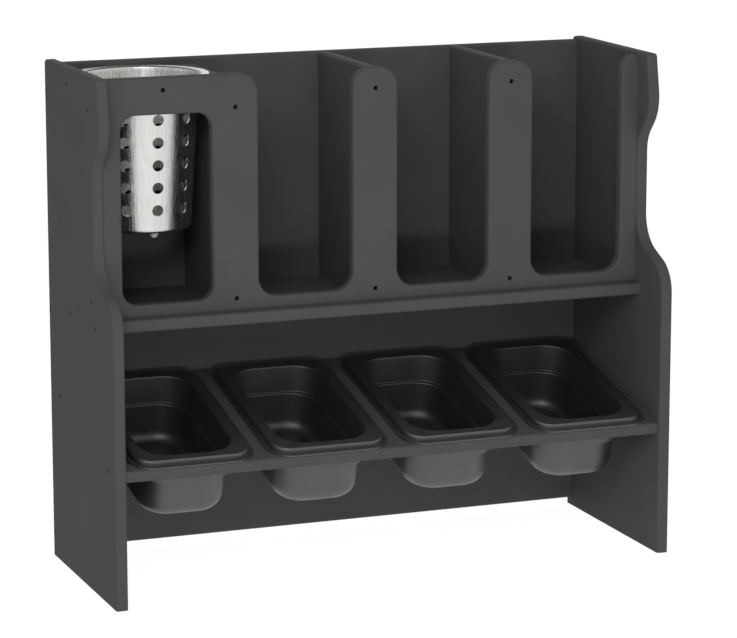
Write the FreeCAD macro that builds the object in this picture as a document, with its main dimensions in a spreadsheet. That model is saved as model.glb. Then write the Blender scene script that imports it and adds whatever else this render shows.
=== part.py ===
import FreeCAD, Part

import os

import Sketcher

# Condiment station cabinet: a counter-top cabinet of routed plastic boards.  Two shaped side
# panels carry a back panel, an upper shelf and a sloping pan shelf.  Three dividers and a slotted
# fascia make four upright cells above the upper shelf.  The first cell has a ring shelf with a
# perforated steel cylinder hung in it, and four food pans drop into the sloping shelf.
#
# Frame of the model: X to the right, Y to the rear, Z up, millimetres, origin on the counter at
# the middle of the footprint.

Vector = FreeCAD.Vector
Rotation = FreeCAD.Rotation

# Driving dimensions: alias, value, what it is.  The cabinet is built round its fittings: the
# cylinder sets the first cell and the depth of the upper part, and the pans share the pan shelf.
DIMENSIONS = [
    ("cabinet_width", 500.0, "over the side panels"),
    ("cabinet_depth", 188.5, "side panel at the foot"),
    ("cabinet_height", 431.9, "side panel, foot to top"),
    ("board", 10.3, "thickness of every board"),
    ("edge_round", 2.4, "routed radius along exposed board edges"),
    ("top_overhang", 15.3, "side outline: top in front of the upright neck"),
    ("top_round", 3.0, "side outline: radius of the two top corners"),
    ("nose_overhang", 24.0, "side outline: corner under the top, in front of the neck"),
    ("nose_drop", 48.2, "side outline: that corner below the top"),
    ("nose_round", 35.0, "side outline: radius of that corner"),
    ("neck_drop", 75.2, "side outline: upper end of the neck below the top"),
    ("neck_top_round", 26.5, "side outline: radius there"),
    ("neck_foot", 271.3, "side outline: lower end of the neck"),
    ("neck_foot_round", 32.0, "side outline: radius there"),
    ("shoulder_height", 249.0, "side outline: corner over the front edge"),
    ("shoulder_round", 30.0, "side outline: radius there"),
    ("board_drop", 2.7, "inner boards end this far below the side panels' top"),
    ("back_lift", 6.9, "gap below the back panel"),
    ("shelf_level", 221.4, "underside of the upper shelf"),
    ("shelf_nosing", 11.0, "upper shelf stands this far in front of the fascia"),
    ("fascia_setback", 1.9, "fascia behind the neck of the side panels"),
    ("cell_depth_play", 0.5, "rim of the cylinder to the fascia and the back panel"),
    ("tongue_width", 40.2, "fascia tongue in front of a divider"),
    ("tongue_round", 16.0, "radius of a tongue's top corners"),
    ("sill", 10.1, "fascia left between a slot and the upper shelf"),
    ("slot_round", 15.8, "radius at the foot of a slot"),
    ("end_strip", 14.8, "fascia strip beside the right side panel"),
    ("end_strip_round", 13.0, "radius of its free top corner"),
    ("window_strip", 15.7, "fascia strip left of the window"),
    ("window_header", 30.8, "fascia above the window"),
    ("window_round", 13.0, "radius of the window's corners"),
    ("ring_drop", 5.5, "ring shelf below the top of the inner boards"),
    ("ring_play", 1.6, "cylinder wall to the hole"),
    ("ring_web", 4.35, "ring shelf left beside its hole"),
    ("ring_soften", 1.0, "chamfer on the hole's edges"),
    ("pan_tilt", 13.2, "slope of the pan shelf in degrees"),
    ("pan_shelf_height", 110.3, "middle of the pan shelf's front edge"),
    ("pan_shelf_setback", 3.3, "that middle behind the side panels' front edge"),
    ("pan_gap", 10.8, "flange to flange"),
    ("pan_end_gap", 6.5, "flange of the end pans to the side panels"),
    ("pan_margin", 0.5, "flange behind the pan shelf's front edge"),
    ("pan_rear_margin", 2.9, "flange in front of the pan shelf's rear edge"),
    ("pan_corner", 20.5, "radius of the flange's corners"),
    ("pan_lip", 1.3, "thickness of the flange"),
    ("pan_ledge", 4.4, "flange outside the raised rim"),
    ("pan_rim", 5.4, "raised rim above the shelf"),
    ("pan_rim_round", 1.6, "radius on the rim's edges"),
    ("pan_rim_skin", 1.8, "thickness of the rim over its groove"),
    ("pan_inset", 14.2, "mouth inside the flange's edge"),
    ("pan_mouth_corner", 24.0, "radius of the mouth's corners"),
    ("pan_wall", 2.0, "thickness of the walls"),
    ("pan_depth", 61.2, "rim to underside"),
    ("pan_step_depth", 24.6, "rim to the stacking step"),
    ("pan_step", 2.4, "walls step in by this"),
    ("pan_step_hollow", 0.8, "radius between the upper walls and the step"),
    ("pan_step_nose", 1.1, "radius between the step and the lower walls"),
    ("pan_upper_draft", 3.5, "lean of the walls above the step, degrees"),
    ("pan_lower_draft", 1.5, "lean of the walls below the step, degrees"),
    ("pan_lower_corner", 24.5, "radius of the walls' corners under the step"),
    ("pan_floor_round", 10.3, "radius between wall and floor, inside"),
    ("pan_cut_play", 2.6, "pan wall to the cut-out in the shelf"),
    ("cup_height", 129.3, "rim to underside"),
    ("cup_flange", 8.0, "flat rim outside the wall"),
    ("cup_flat_play", 0.5, "flat of the rim to the side panel beside it"),
    ("cup_rim", 1.2, "thickness of the rim"),
    ("cup_mouth_round", 1.5, "radius between rim and wall"),
    ("cup_top_radius", 48.4, "outside of the wall under the rim"),
    ("cup_foot_radius", 40.2, "outside of the wall at the foot"),
    ("cup_foot_round", 3.4, "outside radius at the foot"),
    ("cup_wall", 0.9, "sheet thickness"),
    ("cup_hole_radius", 4.75, "perforation"),
    ("cup_hole_pitch", 18.95, "row to row"),
    ("cup_first_row", 19.5, "underside to the lowest row"),
    ("stud_height", 4.4, "pressed foot"),
    ("stud_radius", 4.6, "pressed foot where it leaves the bottom"),
    ("stud_tip_radius", 2.7, "pressed foot at its tip"),
    ("stud_margin", 2.7, "pressed foot inside the bottom's rounded edge"),
    ("screw_length", 30.0, "head to tip"),
    ("strip_screw_length", 20.0, "head to tip, into the end strips of the fascia"),
    ("ring_screw_length", 11.0, "head to tip, into the narrow edges of the ring shelf"),
    ("screw_radius", 1.6, "shank"),
    ("screw_point", 3.0, "length of the point"),
    ("screw_head_radius", 2.0, "trim head"),
    ("screw_head", 2.2, "thickness of the head"),
    ("screw_sink", 2.6, "head below the face of the board"),
    ("screw_play", 0.08, "screw to its bore"),
    ("upper_screw_drop", 24.7, "highest screws of a side panel below the inner boards' top"),
    ("back_screw_rise", 13.7, "lowest back screw above the back panel's lower edge"),
    ("back_screw_middle", 217.7, "middle back screw above the counter"),
    ("fascia_screw_rise", 15.0, "lower fascia screw above the upper shelf"),
    ("shelf_screw_rear", 56.8, "rear screw of the upper shelf in front of the back panel"),
    ("shelf_screw_front", 4.6, "front screw of the upper shelf behind its front edge"),
    ("pan_screw_front", 15.3, "front screw of the pan shelf behind its front edge"),
    ("pan_screw_rear", 17.8, "rear screw of the pan shelf in front of its rear edge"),
    ("tongue_screw_drop", 17.4, "upper screw of a tongue below its top"),
    ("first_tongue_screw_drop", 27.4, "the same beside the ring shelf"),
    ("tongue_screw_rise", 10.3, "lower screw of a tongue above the upper shelf"),
    ("ring_screw_shift", 2.4, "fascia screw of the ring shelf left of the hole's axis"),
]

PAN_COUNT = 4
DIVIDER_COUNT = 3
HOLE_ROWS = 5
HOLE_COLUMNS = 10
STUD_COUNT = 3

doc = FreeCAD.newDocument("condiment_station")
sheet = doc.addObject("Spreadsheet::Sheet", "Sizes")
for row, (alias, value, purpose) in enumerate(DIMENSIONS, start=1):
    sheet.set(f"A{row}", purpose)
    sheet.set(f"B{row}", str(value))
    sheet.setAlias(f"B{row}", alias)
doc.recompute()


class Size:
    """A size known both as a number and as an expression over the sheet."""

    def __init__(self, value, text):
        self.value = float(value)
        self.text = text

    def __add__(self, other):
        other = size(other)
        return Size(self.value + other.value, f"({self.text} + {other.text})")

    def __sub__(self, other):
        other = size(other)
        return Size(self.value - other.value, f"({self.text} - {other.text})")

    def __mul__(self, other):
        other = size(other)
        return Size(self.value * other.value, f"({self.text} * {other.text})")

    def __truediv__(self, other):
        other = size(other)
        return Size(self.value / other.value, f"({self.text} / {other.text})")

    def __neg__(self):
        return Size(-self.value, f"(0 - {self.text})")


def size(number):
    """A plain number as a Size; a Size stays as it is."""
    return number if isinstance(number, Size) else Size(number, repr(float(number)))


def cell(alias):
    return Size(sheet.get(alias), f"Sizes.{alias}")


def sine(angle):
    turned = Rotation(Vector(0, 0, 1), angle.value).multVec(Vector(1, 0, 0))
    return Size(turned.y, f"sin({angle.text})")


def cosine(angle):
    turned = Rotation(Vector(0, 0, 1), angle.value).multVec(Vector(1, 0, 0))
    return Size(turned.x, f"cos({angle.text})")


def place(item, x, y, z, axis=Vector(0, 0, 1), angle=0):
    """Puts an object at a bound place, turned about an axis by a bound angle."""
    spot = [size(length) for length in (x, y, z)]
    base = Vector(spot[0].value, spot[1].value, spot[2].value)
    item.Placement = FreeCAD.Placement(base, Rotation(axis, size(angle).value))
    for letter, length in zip("xyz", spot):
        item.setExpression(f"Placement.Base.{letter}", length.text)
    if size(angle).value:
        item.setExpression("Placement.Rotation.Angle", size(angle).text)


# ---------------------------------------------------------------- sketches


def new_body(name):
    body = doc.addObject("PartDesign::Body", name)
    body.Label = name
    return body


def origin_feature(body, role):
    return [item for item in body.Origin.OriginFeatures if item.Role == role][0]


def new_sketch(body, name, plane, level=0):
    """A sketch on an origin plane, moved square to it.  XZ sketches look along +Y, so their
    level counts along Y like that of the others along Z and X."""
    sketch = body.newObject("Sketcher::SketchObject", f"{body.Name}_{name}")
    sketch.AttachmentSupport = [(origin_feature(body, f"{plane}_Plane"), "")]
    sketch.MapMode = "FlatFace"
    raised = -size(level) if plane == "XZ" else size(level)
    sketch.setExpression("AttachmentOffset.Base.z", raised.text)
    sketch.AttachmentOffset = FreeCAD.Placement(Vector(0, 0, raised.value), Rotation())
    return sketch


def constrain(sketch, kind, where, length, name):
    """A dimension of the sketch, bound to its size."""
    index = sketch.addConstraint(Sketcher.Constraint(kind, *where, length.value))
    sketch.renameConstraint(index, name)
    sketch.setExpression(f"Constraints.{name}", length.text)


def hold(sketch, element, end, x, y, name):
    """Fixes one point of an element at bound coordinates."""
    constrain(sketch, "DistanceX", (-1, 1, element, end), size(x), f"{name}_x")
    constrain(sketch, "DistanceY", (-1, 1, element, end), size(y), f"{name}_y")


def add_polygon(sketch, corners):
    """A closed outline of straight lines through bound corners."""
    first = sketch.GeometryCount
    points = [Vector(size(x).value, size(y).value, 0) for x, y in corners]
    for start, finish in zip(points, points[1:] + points[:1]):
        sketch.addGeometry(Part.LineSegment(start, finish), False)
    for index, (x, y) in enumerate(corners):
        after = first + (index + 1) % len(corners)
        sketch.addConstraint(Sketcher.Constraint("Coincident", first + index, 2, after, 1))
        hold(sketch, first + index, 1, x, y, f"corner_{first + index}")


def add_rectangle(sketch, x_low, x_high, y_low, y_high):
    add_polygon(sketch, [(x_low, y_low), (x_high, y_low), (x_high, y_high), (x_low, y_high)])


def add_circle(sketch, x, y, radius):
    index = sketch.GeometryCount
    centre = Vector(size(x).value, size(y).value, 0)
    sketch.addGeometry(Part.Circle(centre, Vector(0, 0, 1), radius.value), False)
    hold(sketch, index, 3, x, y, f"centre_{index}")
    constrain(sketch, "Radius", (index,), radius, f"radius_{index}")


def add_rounded_rectangle(sketch, x_span, y_span, corner):
    """A rectangle about the sketch's origin with rounded corners."""
    first = sketch.GeometryCount
    reach_x, reach_y = x_span / 2 - corner, y_span / 2 - corner
    quarter = FreeCAD.Units.Quantity("90 deg").getValueAs("rad").Value
    for index, (side_x, side_y) in enumerate([(1, 1), (-1, 1), (-1, -1), (1, -1)]):
        centre = Vector(side_x * reach_x.value, side_y * reach_y.value, 0)
        circle = Part.Circle(centre, Vector(0, 0, 1), corner.value)
        arc = Part.ArcOfCircle(circle, index * quarter, (index + 1) * quarter)
        sketch.addGeometry(arc, False)
    arcs = [first, first + 1, first + 2, first + 3]
    for arc, after in zip(arcs, arcs[1:] + arcs[:1]):
        start, finish = sketch.Geometry[arc].EndPoint, sketch.Geometry[after].StartPoint
        line = sketch.addGeometry(Part.LineSegment(start, finish), False)
        sketch.addConstraint(Sketcher.Constraint("Tangent", arc, 2, line, 1))
        sketch.addConstraint(Sketcher.Constraint("Tangent", line, 2, after, 1))
    for index, kind in enumerate(["Horizontal", "Vertical", "Horizontal"]):
        sketch.addConstraint(Sketcher.Constraint(kind, first + 4 + index))
    sketch.addConstraint(Sketcher.Constraint("Equal", first, first + 2))
    sketch.addConstraint(Sketcher.Constraint("Symmetric", first, 3, first + 2, 3, -1, 1))
    hold(sketch, first, 3, reach_x, reach_y, f"centre_{first}")
    constrain(sketch, "Radius", (first,), corner, f"radius_{first}")


# ---------------------------------------------------------------- features


def new_feature(body, kind, name, sketch):
    feature = body.newObject(f"PartDesign::{kind}", f"{body.Name}_{name}")
    feature.Profile = sketch
    return feature


def goes_backwards(sketch_plane, way):
    """True where a way along the global axis runs against the plane's own normal."""
    return (way > 0) == (sketch_plane == "XZ")


def pad(body, name, sketch, plane, length, way=1):
    feature = new_feature(body, "Pad", name, sketch)
    feature.Reversed = goes_backwards(plane, way)
    feature.setExpression("Length", length.text)
    doc.recompute()
    return feature


def pocket(body, name, sketch, plane, length, way=1):
    """Cuts a sketch's profile, and makes sure that it took something away."""
    before = body.Shape.Volume
    feature = new_feature(body, "Pocket", name, sketch)
    feature.Reversed = not goes_backwards(plane, way)
    feature.setExpression("Length", length.text)
    doc.recompute()
    if not feature.Shape.Volume < before:
        raise RuntimeError(f"{body.Label}: {name} cuts nothing")
    return feature


def loft(body, name, kind, sections):
    feature = new_feature(body, f"{kind}Loft", name, sections[0])
    feature.Sections = sections[1:]
    feature.Ruled = True
    doc.recompute()
    return feature


def dress(body, kind, name, wanted):
    """A fillet or chamfer of the edges of the body's present shape that a test picks."""
    base = body.Tip
    edges = enumerate(base.Shape.Edges, start=1)
    picked = [f"Edge{number}" for number, edge in edges if wanted(edge)]
    if not picked:
        raise RuntimeError(f"{body.Label}: {name} finds no edge")
    feature = body.newObject(f"PartDesign::{kind}", f"{body.Name}_{name}")
    feature.Base = (base, picked)
    return feature


def fillet(body, name, radius, wanted):
    feature = dress(body, "Fillet", name, wanted)
    feature.setExpression("Radius", radius.text)
    doc.recompute()
    return feature


def chamfer(body, name, width, wanted):
    feature = dress(body, "Chamfer", name, wanted)
    feature.setExpression("Size", width.text)
    doc.recompute()
    return feature


def take_away(body, name, tool):
    """Cuts the solid of another body."""
    feature = body.newObject("PartDesign::Boolean", f"{body.Name}_{name}")
    feature.Type = "Cut"
    feature.setObjects([tool])
    doc.recompute()
    return feature


def drill(body, name, plane, level, points, radius, reach, way):
    """Blind bores of one radius and depth from a level, square to a plane."""
    sketch = new_sketch(body, f"{name}_marks", plane, level)
    for x, y in points:
        add_circle(sketch, x, y, radius)
    return pocket(body, name, sketch, plane, reach, way)


def drill_for_heads(body, name, plane, level, points, way):
    """Clearance holes through a board with a well for each head."""
    drill(body, f"{name}_holes", plane, level, points, screw_bore, board, way)
    drill(body, f"{name}_wells", plane, level, points, head_bore, head_well, way)


# ---------------------------------------------------------------- picking edges

NEAR = 0.01


def near(value, length):
    return abs(value - size(length).value) < NEAR


def span(edge, axis):
    """Low and high coordinate of an edge along X, Y or Z."""
    box = edge.BoundBox
    return {"X": (box.XMin, box.XMax), "Y": (box.YMin, box.YMax), "Z": (box.ZMin, box.ZMax)}[axis]


def lies_at(edge, axis, length):
    """True where the whole edge lies at one coordinate."""
    low, high = span(edge, axis)
    return near(low, length) and near(high, length)


def keeps_within(edge, axis, reach):
    """True where the whole edge lies this near the middle."""
    low, high = span(edge, axis)
    return -reach.value - NEAR < low and high < reach.value + NEAR


def stands_at(edge, first_axis, first, second_axis, second):
    """True for a straight edge at a pair of coordinates."""
    return lies_at(edge, first_axis, first) and lies_at(edge, second_axis, second)


# ---------------------------------------------------------------- places that pieces share

board = cell("board")
edge_round = cell("edge_round")
height = cell("cabinet_height")

rear = cell("cabinet_depth") / 2
foot_front = -rear
inner = cell("cabinet_width") / 2 - board
inner_width = inner * 2
back_face = rear - board
boards_top = height - cell("board_drop")
shelf_top = cell("shelf_level") + board
cell_height = boards_top - shelf_top

# the cells are as deep as the cylinder's rim needs; the first is as wide as the ring shelf
# that holds the cylinder, and the others share the rest
cup_rim_radius = cell("cup_top_radius") + cell("cup_flange")
ring_hole = cell("cup_top_radius") + cell("ring_play")
divider_depth = (cup_rim_radius + cell("cell_depth_play")) * 2
cylinder_cell = (ring_hole + cell("ring_web")) * 2
fascia_back = back_face - divider_depth
fascia_front = fascia_back - board
shelf_front = fascia_front - cell("shelf_nosing")
lid_cell = (inner_width - cylinder_cell - board * DIVIDER_COUNT) / DIVIDER_COUNT
first_divider = -inner + cylinder_cell + board / 2
divider_x = [first_divider + (lid_cell + board) * index for index in range(DIVIDER_COUNT)]

ring_top = boards_top - cell("ring_drop")
ring_bottom = ring_top - board
cup_x = -inner + cylinder_cell / 2
cup_y = (fascia_back + back_face) / 2

# the pan shelf's frame: origin at the middle of its front edge, Y up the slope
tilt = cell("pan_tilt")
slope_y = foot_front + cell("pan_shelf_setback")
slope_z = cell("pan_shelf_height")
slope_length = (back_face - slope_y - board / 2 * sine(tilt)) / cosine(tilt)
pan_length = slope_length - cell("pan_margin") - cell("pan_rear_margin")
pan_middle = cell("pan_margin") + pan_length / 2
pan_gaps = cell("pan_end_gap") * 2 + cell("pan_gap") * (PAN_COUNT - 1)
pan_width = (inner_width - pan_gaps) / PAN_COUNT
pan_pitch = pan_width + cell("pan_gap")
pan_x = [pan_pitch * (index - (PAN_COUNT - 1) / 2) for index in range(PAN_COUNT)]

screw_bore = cell("screw_radius") + cell("screw_play")
head_bore = cell("screw_head_radius") + cell("screw_play")
head_well = cell("screw_sink") + cell("screw_head") + cell("screw_play")


def pilot_depth(screw_length):
    """Depth of the bore that a screw through one board needs in the next."""
    return cell("screw_sink") + screw_length + cell("screw_play") - board


pilot = pilot_depth(cell("screw_length"))
strip_pilot = pilot_depth(cell("strip_screw_length"))
ring_pilot = pilot_depth(cell("ring_screw_length"))


def on_slope(along, above=0):
    """Place in the cabinet of a point of the pan shelf's frame, as y and z."""
    y = slope_y + along * cosine(tilt) - size(above) * sine(tilt)
    z = slope_z + along * sine(tilt) + size(above) * cosine(tilt)
    return y, z


# screws through the side panels, as (y, z)
back_screw_z = [
    boards_top - cell("upper_screw_drop"),
    cell("back_screw_middle"),
    cell("back_lift") + cell("back_screw_rise"),
]
fascia_screw_z = [boards_top - cell("upper_screw_drop"), shelf_top + cell("fascia_screw_rise")]
shelf_screw_y = [back_face - cell("shelf_screw_rear"), shelf_front + cell("shelf_screw_front")]
slope_screws = [cell("pan_screw_front"), slope_length - cell("pan_screw_rear")]
side_screws = [(rear - board / 2, z) for z in back_screw_z]
side_screws += [(y, shelf_top - board / 2) for y in shelf_screw_y]
side_screws += [on_slope(along) for along in slope_screws]
strip_screws = [(fascia_front + board / 2, z) for z in fascia_screw_z]
ring_screw = (cup_y, ring_top - board / 2)

# screws through the fascia and the back panel, as (x, z)
tongue_screw_z = [boards_top - cell("tongue_screw_drop"), shelf_top + cell("tongue_screw_rise")]
first_tongue_screw_z = [boards_top - cell("first_tongue_screw_drop"), tongue_screw_z[1]]
divider_screw_z = [first_tongue_screw_z] + [tongue_screw_z] * (DIVIDER_COUNT - 1)
upright_screws = [(x, z) for x, heights in zip(divider_x, divider_screw_z) for z in heights]
ring_fascia_screw = (cup_x - cell("ring_screw_shift"), ring_top - board / 2)
ring_rear_screw = (cup_x, ring_top - board / 2)


# ---------------------------------------------------------------- boards


def make_side_panel(name, side, screws):
    """A side panel seen from its inner face at x = 0; side is -1 on the left, 1 on the right."""
    body = new_body(name)
    neck_front = fascia_front - cell("fascia_setback")
    corners = [
        (rear, size(0)),
        (rear, height),
        (neck_front - cell("top_overhang"), height),
        (neck_front - cell("nose_overhang"), height - cell("nose_drop")),
        (neck_front, height - cell("neck_drop")),
        (neck_front, cell("neck_foot")),
        (foot_front, cell("shoulder_height")),
        (foot_front, size(0)),
    ]
    outline = new_sketch(body, "outline", "YZ")
    add_polygon(outline, corners)
    pad(body, "blank", outline, "YZ", board, side)
    rounds = [
        ("rear_top", 1, "top_round"),
        ("front_top", 2, "top_round"),
        ("nose", 3, "nose_round"),
        ("neck_top", 4, "neck_top_round"),
        ("neck_foot", 5, "neck_foot_round"),
        ("shoulder", 6, "shoulder_round"),
    ]
    for label, index, radius in rounds:
        y, z = corners[index]
        fillet(body, label, cell(radius), lambda edge: stands_at(edge, "Y", y, "Z", z))
    outer = board * side

    def on_a_face(edge):
        return (lies_at(edge, "X", 0) or lies_at(edge, "X", outer)) and not lies_at(edge, "Z", 0)

    fillet(body, "routed_edges", edge_round, on_a_face)
    drill_for_heads(body, "screw", "YZ", outer, screws, -side)
    place(body, inner * side, 0, 0)
    return body


def make_back_panel():
    """The back panel seen from its front face at y = 0."""
    body = new_body("back_panel")
    outline = new_sketch(body, "outline", "XZ")
    add_rectangle(outline, -inner, inner, cell("back_lift"), boards_top)
    pad(body, "blank", outline, "XZ", board)

    def is_long_edge(edge):
        return lies_at(edge, "Z", boards_top) or lies_at(edge, "Z", cell("back_lift"))

    fillet(body, "routed_edges", edge_round, lambda edge: is_long_edge(edge) and not is_end(edge))
    drill_ends(body, [(board / 2, z) for z in back_screw_z], pilot)
    rear_screws = upright_screws + [ring_rear_screw]
    drill_for_heads(body, "rear", "XZ", board, rear_screws, -1)
    place(body, 0, back_face, 0)
    return body


def is_end(edge):
    """True for an edge in one of the two end faces between the side panels."""
    return lies_at(edge, "X", inner) or lies_at(edge, "X", -inner)


def drill_ends(body, marks, reach):
    """Pilot bores for the side panels' screws in both ends of a board."""
    drill(body, "left_pilots", "YZ", -inner, marks, screw_bore, reach, 1)
    drill(body, "right_pilots", "YZ", inner, marks, screw_bore, reach, -1)


def make_upper_shelf():
    """The upper shelf seen from its underside at z = 0."""
    body = new_body("upper_shelf")
    outline = new_sketch(body, "outline", "XY")
    add_rectangle(outline, -inner, inner, shelf_front, back_face)
    pad(body, "blank", outline, "XY", board)

    def is_front_edge(edge):
        return lies_at(edge, "Y", shelf_front) and not is_end(edge)

    fillet(body, "routed_front", edge_round, is_front_edge)
    drill_ends(body, [(y, board / 2) for y in shelf_screw_y], pilot)
    place(body, 0, 0, cell("shelf_level"))
    return body


def make_fascia():
    """The fascia seen from its front face at y = 0 and the upper shelf at z = 0."""
    body = new_body("front_fascia")
    half_tongue = cell("tongue_width") / 2
    sill = cell("sill")
    strip_edge = inner - cell("end_strip")
    corners = [(-inner, size(0)), (inner, size(0)), (inner, cell_height), (strip_edge, cell_height)]
    slot_feet = [(strip_edge, sill)]
    tongue_tops = []
    corners.append(slot_feet[0])
    for x in reversed(divider_x):
        right = [(x + half_tongue, sill), (x + half_tongue, cell_height)]
        left = [(x - half_tongue, cell_height), (x - half_tongue, sill)]
        if x is divider_x[0]:
            left = []
        corners += right + left
        slot_feet += [right[0]] + left[1:]
        tongue_tops += [right[1]] + left[:1]
    corners.append((-inner, cell_height))
    outline = new_sketch(body, "outline", "XZ")
    add_polygon(outline, corners)
    window_left = cell("window_strip") - inner
    window_right = divider_x[0] - half_tongue
    window_top = cell_height - cell("window_header")
    add_rectangle(outline, window_left, window_right, sill, window_top)
    pad(body, "blank", outline, "XZ", board)
    window_corners = [(x, z) for x in (window_left, window_right) for z in (sill, window_top)]
    rounds = [
        ("tongue_tops", "tongue_round", tongue_tops),
        ("slot_feet", "slot_round", slot_feet),
        ("strip_top", "end_strip_round", [(strip_edge, cell_height)]),
        ("window_corners", "window_round", window_corners),
    ]
    for label, radius, spots in rounds:

        def stands_at_a_spot(edge):
            return any(stands_at(edge, "X", x, "Z", z) for x, z in spots)

        fillet(body, label, cell(radius), stands_at_a_spot)

    def is_exposed(edge):
        on_a_face = lies_at(edge, "Y", 0) or lies_at(edge, "Y", board)
        return on_a_face and not is_end(edge) and not lies_at(edge, "Z", 0)

    fillet(body, "routed_edges", edge_round, is_exposed)
    drill_ends(body, [(board / 2, z - shelf_top) for z in fascia_screw_z], strip_pilot)
    marks = [(x, z - shelf_top) for x, z in upright_screws + [ring_fascia_screw]]
    drill_for_heads(body, "front", "XZ", 0, marks, 1)
    place(body, 0, fascia_front, shelf_top)
    return body


def make_divider(number, x, heights):
    """A divider seen from its middle plane at x = 0, the fascia and the upper shelf.

    The first one ends flush with the ring shelf, so that the cylinder's rim lies over both.
    """
    body = new_body(f"divider_{number}")
    carries_rim = x is divider_x[0]
    divider_height = ring_top - shelf_top if carries_rim else cell_height
    outline = new_sketch(body, "outline", "YZ", -board / 2)
    add_rectangle(outline, 0, divider_depth, 0, divider_height)
    pad(body, "blank", outline, "YZ", board)

    def is_long_top_edge(edge):
        across = lies_at(edge, "Y", 0) or lies_at(edge, "Y", divider_depth)
        beside_ring = carries_rim and lies_at(edge, "X", -board / 2)
        return lies_at(edge, "Z", divider_height) and not across and not beside_ring

    fillet(body, "routed_top", edge_round, is_long_top_edge)
    marks = [(size(0), z - shelf_top) for z in heights]
    drill(body, "front_pilots", "XZ", 0, marks, screw_bore, pilot, 1)
    drill(body, "rear_pilots", "XZ", divider_depth, marks, screw_bore, pilot, -1)
    if carries_rim:
        ring_mark = (ring_screw[0] - fascia_back, ring_screw[1] - shelf_top)
        drill_for_heads(body, "ring", "YZ", board / 2, [ring_mark], -1)
    place(body, x, fascia_back, shelf_top)
    return body


def make_ring_shelf():
    """The ring shelf seen from the axis of its hole and its underside."""
    body = new_body("cylinder_shelf")
    half = cylinder_cell / 2
    front, back = fascia_back - cup_y, back_face - cup_y
    outline = new_sketch(body, "outline", "XY")
    add_rectangle(outline, -half, half, front, back)
    add_circle(outline, 0, 0, ring_hole)
    pad(body, "blank", outline, "XY", board)
    chamfer(body, "softened_hole", cell("ring_soften"), lambda edge: is_circle(edge, ring_hole))
    middle = board / 2
    drill(body, "left_pilot", "YZ", -half, [(0, middle)], screw_bore, ring_pilot, 1)
    drill(body, "right_pilot", "YZ", half, [(0, middle)], screw_bore, ring_pilot, -1)
    front_mark = (-cell("ring_screw_shift"), middle)
    drill(body, "front_pilot", "XZ", front, [front_mark], screw_bore, ring_pilot, 1)
    drill(body, "rear_pilot", "XZ", back, [(0, middle)], screw_bore, ring_pilot, -1)
    place(body, cup_x, cup_y, ring_bottom)
    return body


def is_circle(edge, radius, z=None):
    """True for a whole circle of a radius, at a height where one is given."""
    low, high = span(edge, "X")
    round_edge = isinstance(edge.Curve, Part.Circle) and near(edge.Curve.Radius, radius)
    return round_edge and near(high - low, size(radius) * 2) and (z is None or lies_at(edge, "Z", z))


def make_pan_shelf():
    """The pan shelf in its own sloping frame, with a cut-out for each pan."""
    body = new_body("lower_shelf")
    outline = new_sketch(body, "outline", "XY", -board / 2)
    add_rectangle(outline, -inner, inner, 0, slope_length)
    pad(body, "blank", outline, "XY", board)
    cut_inset = cell("pan_inset") - cell("pan_wall") - cell("pan_cut_play")
    cut = new_sketch(body, "cut_out", "XY", board / 2)
    cut.setExpression("AttachmentOffset.Base.x", pan_x[0].text)
    cut.setExpression("AttachmentOffset.Base.y", pan_middle.text)
    add_rounded_rectangle(cut, *pan_outline(cut_inset), pan_hollow_corner() + cell("pan_cut_play"))
    first_cut = pocket(body, "cut", cut, "XY", board, -1)
    row = body.newObject("PartDesign::LinearPattern", "lower_shelf_cut_row")
    row.Originals = [first_cut]
    row.Direction = (origin_feature(body, "X_Axis"), [""])
    row.setExpression("Length", (pan_x[-1] - pan_x[0]).text)
    row.Occurrences = PAN_COUNT
    body.Tip = row
    doc.recompute()
    fillet(body, "routed_front", edge_round, lambda edge: lies_at(edge, "Y", 0) and not is_end(edge))
    drill_ends(body, [(along, size(0)) for along in slope_screws], pilot)
    place(body, 0, slope_y, slope_z, Vector(1, 0, 0), tilt)
    return body


# ---------------------------------------------------------------- pans and cylinder


def pan_outline(inset):
    """Width and length of a pan's section that lies this far inside the flange's edge."""
    return pan_width - size(inset) * 2, pan_length - size(inset) * 2


def pan_hollow_corner():
    """Corner radius of the pan's outside under the rim."""
    return cell("pan_mouth_corner") + cell("pan_wall")


def lean(draft):
    """How far a drafted wall leans per unit of depth."""
    return sine(draft) / cosine(draft)


def drafted_pad(body, name, sketch, length, draft):
    """A pad downwards that narrows by a draft angle."""
    feature = pad(body, name, sketch, "XY", length, -1)
    feature.setExpression("TaperAngle", (-draft).text)
    doc.recompute()
    return feature


def add_pan_section(body, name, z, inset, corner):
    sketch = new_sketch(body, name, "XY", z)
    add_rounded_rectangle(sketch, *pan_outline(inset), corner)
    return sketch


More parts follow.
